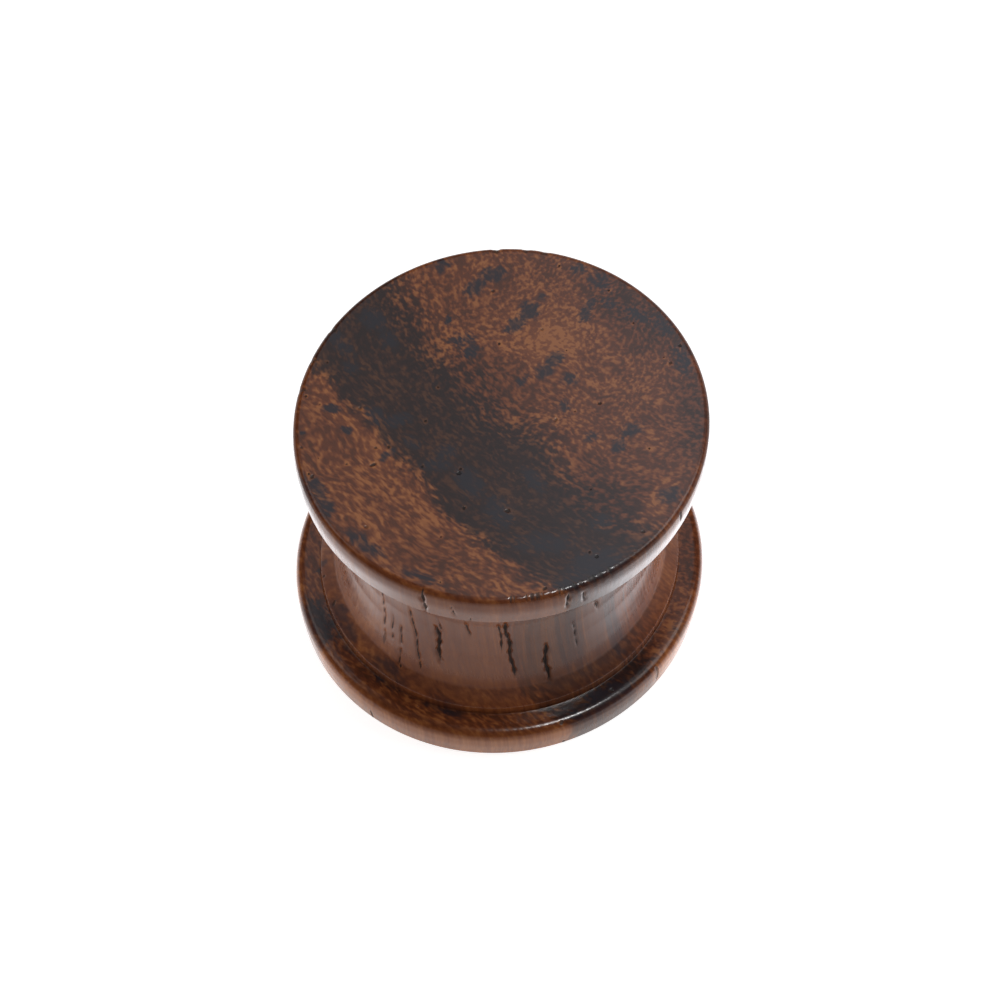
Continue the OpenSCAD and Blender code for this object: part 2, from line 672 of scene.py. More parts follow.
# Dark bluish stains, from the top of the face down: x, y, long, wide, turn, depth
STAINS = tuple(Stain(*row) for row in (
    (-0.5, 8.35, 0.85, 0.45, 15, 0.95),
    (-1.35, 7.65, 0.85, 0.45, 45, 0.9),
    (-3.0, 8.9, 0.6, 0.5, 60, 0.7),
    (3.65, 8.8, 0.5, 0.38, 20, 0.8),
    (1.9, 7.1, 0.4, 0.25, 20, 0.6),
    (1.2, 6.25, 0.75, 0.5, 50, 1.0),
    (0.6, 5.5, 0.65, 0.36, 40, 1.0),
    (4.05, 6.35, 0.95, 0.3, 68, 0.9),
    (5.1, 6.8, 0.5, 0.35, -30, 0.7),
    (4.7, 8.0, 0.8, 0.55, -30, 0.6),
    (6.4, 6.2, 0.9, 0.45, -30, 0.65),
    (7.7, 5.6, 0.9, 0.6, -50, 0.6),
    (8.75, 3.6, 1.1, 0.45, -80, 0.75),
    (2.55, 3.6, 0.6, 0.42, 40, 0.95),
    (2.05, 2.95, 0.6, 0.42, 50, 0.9),
    (3.3, 2.45, 0.55, 0.38, 20, 0.6),
    (0.95, 2.3, 0.5, 0.32, 40, 0.6),
    (3.0, 0.95, 0.45, 0.4, 70, 0.6),
    (-2.65, 5.7, 0.34, 0.2, 75, 1.0),
    (-1.9, 4.6, 0.75, 0.5, 10, 0.7),
    (-1.55, 3.95, 0.55, 0.4, 20, 0.8),
    (-6.2, 5.7, 0.9, 0.6, -40, 0.85),
    (-5.5, 4.5, 0.7, 0.6, -60, 0.6),
    (-7.9, 4.4, 1.2, 0.45, -52, 0.7),
    (-7.3, 3.0, 0.6, 0.5, -60, 0.55),
    (-6.05, 0.25, 0.7, 0.5, -60, 0.75),
    (-5.0, 0.0, 0.8, 0.45, 10, 0.8),
    (-4.3, -1.2, 0.5, 0.4, -40, 0.6),
    (-2.6, -1.7, 0.65, 0.5, 0, 0.7),
    (-3.1, -2.4, 0.9, 0.5, 10, 0.65),
    (-1.5, -3.4, 1.1, 0.7, -50, 0.8),
    (-0.1, -5.0, 1.1, 0.8, -60, 0.75),
    (1.6, -3.2, 1.0, 0.42, -50, 0.7),
    (2.0, -6.7, 1.8, 0.7, 0, 0.7),
    (4.6, -7.9, 1.6, 1.0, 20, 0.95),
    (3.2, -8.9, 0.8, 0.5, 0, 0.8),
    (4.8, -5.5, 0.7, 0.6, 0, 0.6),
    (6.3, -0.3, 0.7, 0.45, 20, 0.85),
    (5.65, -1.2, 0.6, 0.38, 60, 0.8),
    (4.3, -0.8, 0.5, 0.35, 20, 0.6),
    (8.1, -3.9, 0.75, 0.5, 15, 0.85),
    (-8.2, 0.6, 0.5, 0.26, 5, 0.85),
    (-7.4, -0.6, 0.34, 0.3, 0, 0.85),
    (-5.45, -1.9, 0.55, 0.22, 40, 0.8),
    (-9.7, -0.8, 0.4, 0.2, 20, 0.6),
    (-10.0, -3.8, 1.6, 0.95, -62, 1.0),
    (-8.75, -3.8, 0.95, 0.45, -60, 0.9),
    (-8.3, -4.8, 0.8, 0.45, -60, 0.85),
    (-6.4, -6.9, 1.4, 0.45, -38, 0.75),
    (-3.8, -8.6, 1.4, 0.35, -20, 0.6),
))

# Paler spots of the wood, and darker ones where the last value is below zero, with one painted highlight in
# the last row: the same columns
WARMTH_AND_HIGHLIGHT = tuple(Stain(*row) for row in (
    (2.2, 4.9, 3.0, 2.2, 0, 0.34),
    (-2.4, -8.2, 3.4, 1.8, -20, -0.08),
    (-7.2, 0.2, 1.2, 0.8, -30, 0.2),
    (-8.3, 2.6, 0.7, 0.5, -60, 0.18),
    (-5.9, -1.3, 1.0, 0.8, -45, 0.16),
    (-2.6, 3.8, 0.6, 0.35, -70, 0.22),
    (5.1, 2.3, 0.9, 0.6, -40, 0.16),
    (0.5, 7.3, 0.9, 0.6, 20, 0.16),
    (5.4, -4.0, 3.0, 2.2, -30, -0.36),
    (6.6, 6.6, 4.4, 2.2, -45, -0.42),
    (9.6, 0.6, 4.6, 1.7, 88, -0.36),
    (-0.6, 2.4, 2.8, 1.9, -45, -0.32),
    (-6.4, -3.0, 4.0, 2.6, -55, 0.08),
    # Painted highlight: the warm light that the lower step's crest catches at the right front, carried on
    # along the grain
    (7.4, -4.4, 1.8, 0.6, 60, 0.45),
))

# Larger vessels seen end on: x, y, long, wide, turn, depth
VESSELS = tuple(Stain(*row) for row in (
    (-6.1, -2.5, 0.17, 0.08, 25, 1.0),
    (-6.0, -1.55, 0.08, 0.07, 0, 0.8),
    (-6.8, 0.65, 0.09, 0.07, 0, 0.7),
    (-9.0, -3.2, 0.13, 0.08, 60, 0.8),
    (-9.55, -1.6, 0.08, 0.07, 0, 0.7),
    (-6.35, -5.95, 0.11, 0.08, 0, 0.6),
    (-0.5, 7.4, 0.09, 0.08, 0, 0.8),
    (4.7, 1.1, 0.1, 0.07, 20, 1.0),
    (2.6, 0.15, 0.11, 0.08, 60, 0.7),
    (1.9, 5.25, 0.08, 0.07, 0, 0.6),
    (8.55, 4.45, 0.09, 0.08, 0, 0.9),
    (8.1, 3.45, 0.09, 0.08, 0, 0.8),
    (0.35, -4.95, 0.13, 0.1, 0, 0.9),
    (-2.0, -2.9, 0.11, 0.09, 0, 0.9),
    (4.6, -7.4, 0.09, 0.09, 0, 0.8),
    (6.8, -6.0, 0.1, 0.08, 0, 0.7),
    (8.6, -4.8, 0.13, 0.07, 60, 0.9),
    (2.15, -9.2, 0.12, 0.08, 40, 0.9),
))


@dataclass(frozen=True)
class DarkBand:
    """The broad dark layer that crosses the plug, between two rings about the heart.

    Attributes:
        angles: Angles about the heart at which the band is given, in degrees.
        outer: Its outer ring at each angle, in mm.
        inner: Its inner ring at each angle, in mm.
        outer_edge: Width over which its outer edge fades, in mm.
        inner_edge: Width over which its inner edge fades, in mm.
        rings: Least and greatest ring that the curves of its edges can reach, in mm.
    """

    angles: tuple[float, ...] = (200.0, 210.0, 218.0, 226.0, 234.0, 242.0, 250.0, 258.0)
    outer: tuple[float, ...] = (24.6, 23.7, 23.6, 23.6, 24.4, 24.8, 25.3, 25.5)
    inner: tuple[float, ...] = (18.6, 18.5, 18.4, 18.4, 18.0, 19.2, 20.0, 20.9)
    outer_edge: float = 1.7
    inner_edge: float = 5.2
    rings: Span = (10.0, 30.0)

    def ring(self, sheet: Sheet, angle: Socket, radii: tuple[float, ...]) -> Socket:
        """Gives the band's ring at an angle, by a curve through the listed ones.

        Args:
            sheet: The sheet to draw on.
            angle: The angle about the heart, in degrees.
            radii: The ring at each listed angle.

        Returns:
            The ring, in mm.
        """
        first, last = self.angles[0], self.angles[-1]
        low, high = self.rings
        listed = zip(self.angles, radii)
        points = [((place - first) / (last - first), (ring - low) / (high - low)) for place, ring in listed]
        share = sheet.maths("DIVIDE", sheet.maths("SUBTRACT", angle, first), last - first, clamp=True)
        return sheet.maths("MULTIPLY_ADD", sheet.curve(share, points), high - low, low)

    def mask(self, sheet: Sheet, ring: Socket, angle: Socket) -> Socket:
        """Draws the band, which fades inwards slowly and outwards fast.

        Args:
            sheet: The sheet to draw on.
            ring: The ring of a place, in mm.
            angle: Its angle about the heart, in degrees.

        Returns:
            The band's mask, from 0 to 1.
        """
        outside = sheet.maths("SUBTRACT", self.ring(sheet, angle, self.outer), ring)
        inside = sheet.maths("SUBTRACT", ring, self.ring(sheet, angle, self.inner))
        sides = ((outside, self.outer_edge / 2), (inside, self.inner_edge / 2))
        return sheet.maths("MULTIPLY", *(sheet.eased(depth, -half, half) for depth, half in sides))


@dataclass(frozen=True)
class Figure:
    """The dark figure of the wood: the band, the stains, and the ragged edges of both.

    Attributes:
        band: The broad dark layer.
        stains: The dark bluish spots.
        warmth_and_highlight: Broad spots where the wood is paler, or darker where their strength is below
            zero, and one painted highlight along the lower step's crest.
        band_ragged: How far noise shifts the band's edges, in mm.
        stain_ragged: How far the same noise shifts the stains' edges, in mm.
        ragged_size: Size of that noise across the rings, along them and along the grain, in mm.
        broken: How far the pale flecks break into the fading edges, as a share.
        stain_fade: Where a stain begins to fade and where it ends, as shares of its size.
        warmth_and_highlight_fade: The same for the paler and darker spots and the painted highlight.
    """

    band: DarkBand = DarkBand()
    stains: tuple[Stain, ...] = STAINS
    warmth_and_highlight: tuple[Stain, ...] = WARMTH_AND_HIGHLIGHT
    band_ragged: float = 1.9
    stain_ragged: float = 0.7
    ragged_size: Triple = (0.45, 0.55, 12.0)
    broken: float = 1.3
    stain_fade: Span = (0.2, 1.5)
    warmth_and_highlight_fade: Span = (0.0, 1.3)

    RAGGED_DETAIL = (3.0, 0.55)
    MASK_ENDS = (0.1, 0.9)

    def pushed(self, sheet: Sheet, mask: Socket, fleck: Socket) -> Socket:
        """Breaks a mask's fading edge up by the flecks.

        The mask times what it lacks to one is greatest half way down its edge. There the flecks lower
        it and the wood between them raises it, and the result is eased again.

        Args:
            sheet: The sheet to draw on.
            mask: The mask, from 0 to 1.
            fleck: The flecks, from 0 to 1.

        Returns:
            The broken mask.
        """
        edge = sheet.maths("MULTIPLY", mask, sheet.maths("SUBTRACT", 1.0, mask))
        between = sheet.maths("MULTIPLY_ADD", fleck, -self.broken, self.broken / 2)
        push = sheet.maths("MULTIPLY", edge, between)
        return sheet.eased(sheet.maths("ADD", mask, push), *self.MASK_ENDS)

    def group(self) -> NodeTree:
        """Builds the group that gives the dark masks.

        A spot is its distance from a place, eased from its depth to nothing. The stains' mask is the
        greatest of them all, and the paler and darker spots with the painted highlight are summed. The place
        is first shifted by fine noise.

        Returns:
            The group, with inputs Place, Ring place, Angle and Fleck, and outputs Dark, Stained and Warmth.
        """
        inputs = ("Place", "Ring place", "Angle", "Fleck")
        sheet, into, out = new_group("dark_figure", inputs, ("Dark", "Stained", "Warmth_and_highlight"))
        fine = sheet.noise(into["Ring place"], self.ragged_size, *self.RAGGED_DETAIL)["Color"]
        shift = sheet.vectors("SUBTRACT", fine, NOISE_MIDDLE)
        rings = sheet.vectors("ADD", into["Ring place"], sheet.scaled(shift, self.band_ragged))
        band = self.band.mask(sheet, sheet.split(rings)["X"], into["Angle"])
        shifted = sheet.vectors("ADD", into["Place"], sheet.scaled(shift, self.stain_ragged))
        place = sheet.vectors("MULTIPLY", shifted, ACROSS_GRAIN)
        totals = []
        for operation, stains, fade in (
            ("MAXIMUM", self.stains, self.stain_fade),
            ("ADD", self.warmth_and_highlight, self.warmth_and_highlight_fade),
        ):
            total = 0.0
            for stain in stains:
                spot = sheet.eased(stain.away(sheet, place), *fade, stain.depth, 0.0)
                total = sheet.maths(operation, total, spot)
            totals.append(total)
        stained, warmth_and_highlight = totals
        dark, stained = (self.pushed(sheet, mask, into["Fleck"]) for mask in (band, stained))
        sheet.feed(out, {"Dark": dark, "Stained": stained, "Warmth_and_highlight": warmth_and_highlight})
        return sheet.tree


@dataclass(frozen=True)
class Fibre:
    """The fine figure: short pale flecks in rows along the rings, their mottle, and the fibres.

    Attributes:
        fleck_size: Size of a fleck across the rings, along them and along the grain, in mm.
        row_size: Size of the rows in which the flecks lie, in mm.
        mottle_size: Size of the mottle, in mm.
        thread_size: Size of the finest fibres, in mm.
        row_share: Share of the rows in the flecks.
        fleck_level: Levels between which a fleck sets in.
    """

    fleck_size: Triple = (0.19, 0.29, 12.0)
    row_size: Triple = (0.40, 1.9, 16.0)
    mottle_size: Triple = (1.0, 1.8, 20.0)
    thread_size: Triple = (0.09, 0.12, 9.0)
    row_share: float = 0.5
    fleck_level: Span = (0.58, 1.00)

    MOTTLE_DETAIL = 2.0
    THREAD_DETAIL = (2.0, 0.6)
    NOISE_ENDS = (0.3, 0.7)

    def group(self) -> NodeTree:
        """Builds the group that gives the flecks.

        A fleck is where the sum of a short noise and the noise of the rows passes a level.

        Returns:
            The group, with the input Ring place and outputs Fleck, Mottle and Thread, each about 0 to 1.
        """
        sheet, into, out = new_group("wood_fibre", ("Ring place",), ("Fleck", "Mottle", "Thread"))
        rings = into["Ring place"]
        short = sheet.noise(rings, self.fleck_size)["Fac"]
        row = sheet.noise(rings, self.row_size)["Fac"]
        mottle = sheet.noise(rings, self.mottle_size, self.MOTTLE_DETAIL)["Fac"]
        thread = sheet.noise(rings, self.thread_size, *self.THREAD_DETAIL)["Fac"]
        fleck = sheet.eased(sheet.maths("MULTIPLY_ADD", row, self.row_share, short), *self.fleck_level)
        mottle, thread = (sheet.eased(noise, *self.NOISE_ENDS) for noise in (mottle, thread))
        sheet.feed(out, {"Fleck": fleck, "Mottle": mottle, "Thread": thread})
        return sheet.tree


@dataclass(frozen=True)
class FinePores:
    """The small vessels, dots on the end faces and short dark lines on the turned side.

    Attributes:
        spacing: Distance between vessels across the rings, along them and along the grain, in mm.
        radius: Radius of a vessel as a share of the spacing.
        halo: Radius of the pale wood round it, as a share of the spacing.
        vessels: The larger vessels, each at its own place.
        halo_out: Size of the pale wood round a larger vessel, as a share of the vessel.
    """

    spacing: Triple = (0.9, 1.1, 13.0)
    radius: float = 0.07
    halo: float = 0.22
    vessels: tuple[Stain, ...] = VESSELS
    halo_out: float = 3.2

    # Where a cell's own number starts a vessel and makes it full, and the same for its pale wood
    VESSEL_CHANCE = (0.15, 0.9)
    HALO_CHANCE = (0.3, 0.6)
    # How far outside and inside a small vessel's radius its edge fades, as a share of the spacing
    RIM = (-0.012, 0.02)
    # A larger vessel's edge and the start of its pale wood, as shares of its size, and that wood's strength
    VESSEL_EDGE = (0.6, 1.3)
    HALO_START = 1.2
    HALO_STRENGTH = 0.9

    def group(self) -> NodeTree:
        """Builds the group that gives the vessels.

        A small vessel is where the distance to the nearest point of a stretched cell pattern is small. A
        cell's own random number makes some vessels small or leaves them out. The larger vessels are
        added at their own places.

        Returns:
            The group, with inputs Swayed and Place, and outputs Pore and Halo, each from 0 to 1.
        """
        sheet, into, out = new_group("fine_pores", ("Swayed", "Place"), ("Pore", "Halo"))
        spread = sheet.vectors("DIVIDE", into["Swayed"], self.spacing)
        cells = sheet.feed(sheet.add("TexVoronoi", spread, feature="F1"), {"Scale": 1.0})
        chance = sheet.split(cells["Color"])["X"]
        size = sheet.eased(chance, *self.VESSEL_CHANCE, 0.0, self.radius)
        pore = sheet.eased(sheet.maths("SUBTRACT", size, cells["Distance"]), *self.RIM)
        near = sheet.eased(cells["Distance"], self.radius, self.halo, 1.0, 0.0)
        halo = sheet.maths("MULTIPLY", near, sheet.eased(chance, *self.HALO_CHANCE))
        place = sheet.vectors("MULTIPLY", into["Place"], ACROSS_GRAIN)
        for vessel in self.vessels:
            away = vessel.away(sheet, place)
            hole = sheet.eased(away, *self.VESSEL_EDGE, vessel.depth, 0.0)
            pale = sheet.eased(away, self.HALO_START, self.halo_out, self.HALO_STRENGTH, 0.0)
            pore, halo = sheet.maths("MAXIMUM", pore, hole), sheet.maths("MAXIMUM", halo, pale)
        sheet.feed(out, {"Pore": pore, "Halo": halo})
        return sheet.tree


@dataclass(frozen=True)
class Blend:
    """Shares in which the parts of the figure make up the wood's tone.

    Attributes:
        ground: The tone without any of them.
        fleck: Share of the pale flecks.
        mottle: Share of the mottle.
        thread: Share of the fibres.
    """

    ground: float
    fleck: float
    mottle: float
    thread: float

    def tone(self, sheet: Sheet, parts: Sockets) -> Socket:
        """Adds the parts up.

        Args:
            sheet: The sheet to draw on.
            parts: The parts, by name.

        Returns:
            The tone.
        """
        shares = {"Fleck": self.fleck, "Mottle": self.mottle, "Thread": self.thread}
        return sheet.summed(self.ground, *((parts[part], share) for part, share in shares.items()))


@dataclass(frozen=True)
class PolishedWood:
    """Dark figured hardwood, turned and polished.

    Attributes:
        slot: Name of a material slot, which is not used.
        ground: Ramp of the wood's colour from its darkest to its palest, as places and linear colours.
        dark: Colour of the dark band.
        stain: Colour of the bluish stains.
        end_blend: How the tone is made up across the grain.
        side_blend: The same along the grain, on the turned side.
        side_dark: How strong the dark figure is on the turned side, as a share.
        side_warmth_and_highlight: How strong the paler and darker spots and the painted highlight are there,
            as a share.
        foot_tone: How much paler the lower band is than the rest of that side.
        foot_edge: Heights between which that ends, in mm.
        painted_sheen: Colour of a painted sheen on the upper face, a grey reflection of the light on the
            right laid into the colour.
        painted_sheen_share: How strong the painted sheen is where it is strongest.
        painted_sheen_edge: Where along X the painted sheen begins and where it is strongest, in mm.
        painted_sheen_from: Heights between which the painted sheen sets in, in mm.
        pore_colour_and_nick_shade: Colour inside an open pore, also laid as painted shade on the nicks'
            walls.
        gloss: Least and greatest roughness.
        cove_dull: How much rougher the polish is at a cove's corner.
        refraction: Index of refraction of the polish.
    """

    slot: str = "wood"
    ground: tuple[tuple[float, Triple], ...] = (
        (0.0, (0.045, 0.015, 0.008)),
        (0.25, (0.105, 0.031, 0.0125)),
        (0.5, (0.176, 0.048, 0.0175)),
        (0.75, (0.27, 0.082, 0.026)),
        (1.0, (0.42, 0.148, 0.045)),
    )
    dark: Triple = (0.018, 0.0085, 0.0085)
    stain: Triple = (0.022, 0.020, 0.029)
    end_blend: Blend = Blend(ground=0.19, fleck=0.62, mottle=0.18, thread=0.08)
    side_blend: Blend = Blend(ground=0.49, fleck=0.14, mottle=0.18, thread=0.14)
    side_dark: float = 0.6
    side_warmth_and_highlight: float = 0.7
    foot_tone: float = 0.2
    foot_edge: Span = (1.4, 2.2)
    painted_sheen: Triple = (0.60, 0.60, 0.66)
    painted_sheen_share: float = 0.08
    painted_sheen_edge: Span = (-5.0, 11.0)
    painted_sheen_from: Span = (10.0, 14.0)
    pore_colour_and_nick_shade: Triple = (0.008, 0.006, 0.005)
    gloss: Span = (0.18, 0.27)
    cove_dull: float = 0.3
    refraction: float = 1.36

    HALO_TONE = 0.3
    FAINT_ON_PALE = 0.22
    GROOVE_EDGE = (0.25, 0.7)
    HOLE_SHARE = 0.85
    HOLE_DULL = 0.4
    # How high the fibres, the flecks and the small vessels stand, in mm
    RISES = (0.0011, 0.002, -0.03)

    def material(self, heart: Heart, figure: Figure, fibre: Fibre, pores: FinePores) -> Material:
        """Builds the wood's material.

        Args:
            heart: Where the rings have their middle.
            figure: The dark figure.
            fibre: The flecks and fibres.
            pores: The small vessels.

        Returns:
            The material, which reads object coordinates and the values that the mesh carries.
        """
        material, sheet, shader = new_material("polished_dark_wood")
        spot = sheet.group(heart.group(), {})
        place, rings = spot["Place"], spot["Ring place"]
        threads = sheet.group(fibre.group(), {"Ring place": rings})
        shared = {"Angle": spot["Angle"], "Fleck": threads["Fleck"]}
        darks = sheet.group(figure.group(), {"Place": place, "Ring place": rings} | shared)
        vessel = sheet.group(pores.group(), {"Swayed": spot["Swayed"], "Place": place})
        groove, across, cove = (sheet.carried(channel) for channel in Channel)

        upright = sheet.split(spot["Spot"])
        foot = sheet.eased(upright["Z"], *self.foot_edge, self.foot_tone, 0.0)
        side = sheet.maths("ADD", self.side_blend.tone(sheet, threads), foot)
        # The paler and darker spots carry one painted highlight, along the lower step's crest at the right
        # front
        side = sheet.summed(side, (darks["Warmth_and_highlight"], self.side_warmth_and_highlight))
        end = sheet.maths("ADD", self.end_blend.tone(sheet, threads), darks["Warmth_and_highlight"])
        end = sheet.summed(end, (vessel["Halo"], self.HALO_TONE))
        tone = sheet.maths("MULTIPLY_ADD", sheet.maths("SUBTRACT", end, side), across, side)
        colour = sheet.ramp(tone, self.ground)
        strength = sheet.maths("MULTIPLY_ADD", across, 1.0 - self.side_dark, self.side_dark)
        faint = sheet.maths("MULTIPLY_ADD", tone, -self.FAINT_ON_PALE, 1.0)
        for mask, shade in ((darks["Dark"], self.dark), (darks["Stained"], self.stain)):
            share = sheet.maths("MULTIPLY", sheet.maths("MULTIPLY", mask, strength), faint)
            colour = sheet.mixed(share, colour, shade)
        # Painted sheen: a grey reflection of the light on the right, laid into the upper face's colour and
        # stronger towards the right
        sheen_towards_right = sheet.eased(upright["X"], *self.painted_sheen_edge, 0.0, self.painted_sheen_share)
        on_top = sheet.maths("MULTIPLY", across, sheet.eased(upright["Z"], *self.painted_sheen_from))
        colour = sheet.mixed(sheet.maths("MULTIPLY", sheen_towards_right, on_top), colour, self.painted_sheen)
        # Open pores take their dark colour, and the nicks' walls the same colour as painted shade
        hole = sheet.maths("MAXIMUM", vessel["Pore"], sheet.eased(groove, *self.GROOVE_EDGE))
        colour = sheet.mixed(sheet.maths("MULTIPLY", hole, self.HOLE_SHARE), colour, self.pore_colour_and_nick_shade)

        least, greatest = self.gloss
        worn = (threads["Thread"], greatest - least)
        rough = sheet.summed(least, worn, (cove, self.cove_dull), (hole, self.HOLE_DULL))
        rises = zip((threads["Thread"], threads["Fleck"], vessel["Pore"]), self.RISES)
        height = sheet.summed(0.0, *((value, rise * MM) for value, rise in rises))
        normal = sheet.feed(sheet.add("Bump"), {"Strength": 1.0, "Distance": 1.0, "Height": height})[0]
        values = {"Base Color": colour, "IOR": self.refraction, "Roughness": rough, "Normal": normal}
        sheet.feed(shader, values)
        return material


@dataclass(frozen=True)
class PaleFloor:
    """A plain white floor, bright enough to leave hardly a shadow.

    Attributes:
        colour: Its colour.
        glow: Light that it sends out itself, as a light table does.
        left_painted_light: The same light that it sends out, brighter to the left of the plug: painted light
            standing in for lamp light falling there.
        right_painted_light: The same painted light, a brighter pool to the right of the plug.
        edge: How far from the middle the painted pools of light begin and where they are reached, in mm.
        far_glow: The same, farther off.
        far_edge: How far from the middle that part begins and where it is reached, in mm.
        seen: The same where the eye sees the floor itself, and not its mirrored light.
        half: Half of its width, in mm.
    """

    colour: Triple = (0.6, 0.6, 0.6)
    glow: Triple = (0.74, 0.74, 0.74)
    left_painted_light: Triple = (1.9, 1.9, 1.95)
    right_painted_light: Triple = (2.5, 2.5, 2.6)
    edge: Span = (7.0, 12.0)
    far_glow: Triple = (0.5, 0.5, 0.51)
    far_edge: Span = (13.0, 22.0)
    seen: Triple = (0.88, 0.88, 0.88)
    half: float = 3000.0

    ROUGHNESS = 0.9

    def material(self) -> Material:
        """Builds the floor's material.

        Returns:
            The material, a dull ground whose own light changes with the place.
        """
        material, sheet, shader = new_material("pale_floor")
        spot = sheet.add("TexCoord").outputs["Object"]
        beside = sheet.split(spot)["X"]
        low, high = (edge * MM for edge in self.edge)
        far_low, far_high = (edge * MM for edge in self.far_edge)
        # Painted light: brighter pools of the floor's glow to the right and left of the plug, as if lamps lit
        # the floor there
        glow = sheet.mixed(sheet.eased(beside, low, high), (*self.glow, 1.0), self.right_painted_light)
        glow = sheet.mixed(sheet.eased(beside, -low, -high), glow, self.left_painted_light)
        glow = sheet.mixed(sheet.eased(sheet.length(spot), far_low, far_high), glow, self.far_glow)
        glow = sheet.mixed(sheet.add("LightPath").outputs["Is Camera Ray"], glow, self.seen)
        dull = {"Base Color": (*self.colour, 1.0), "Roughness": self.ROUGHNESS, "Specular IOR Level": 0.0}
        sheet.feed(shader, dull | {"Emission Color": glow, "Emission Strength": 1.0})
        return material

    def build(self) -> Object:
        """Builds the floor as one square under the plug.

        Returns:
            The floor.
        """
        half = self.half * MM
        corners = [(-half, -half, 0), (half, -half, 0), (half, half, 0), (-half, half, 0)]
        mesh = bpy.data.meshes.new("floor")
        mesh.from_pydata(corners, [], [(0, 1, 2, 3)])
        mesh.materials.append(self.material())
        floor = placed("floor", mesh)
        return floor


def turned_from(azimuth: np.ndarray, degrees: float) -> np.ndarray:
    """Measures angles from a direction given in degrees, in radians between minus pi and pi."""
    return (azimuth - math.radians(degrees) + math.pi) % (2 * math.pi) - math.pi


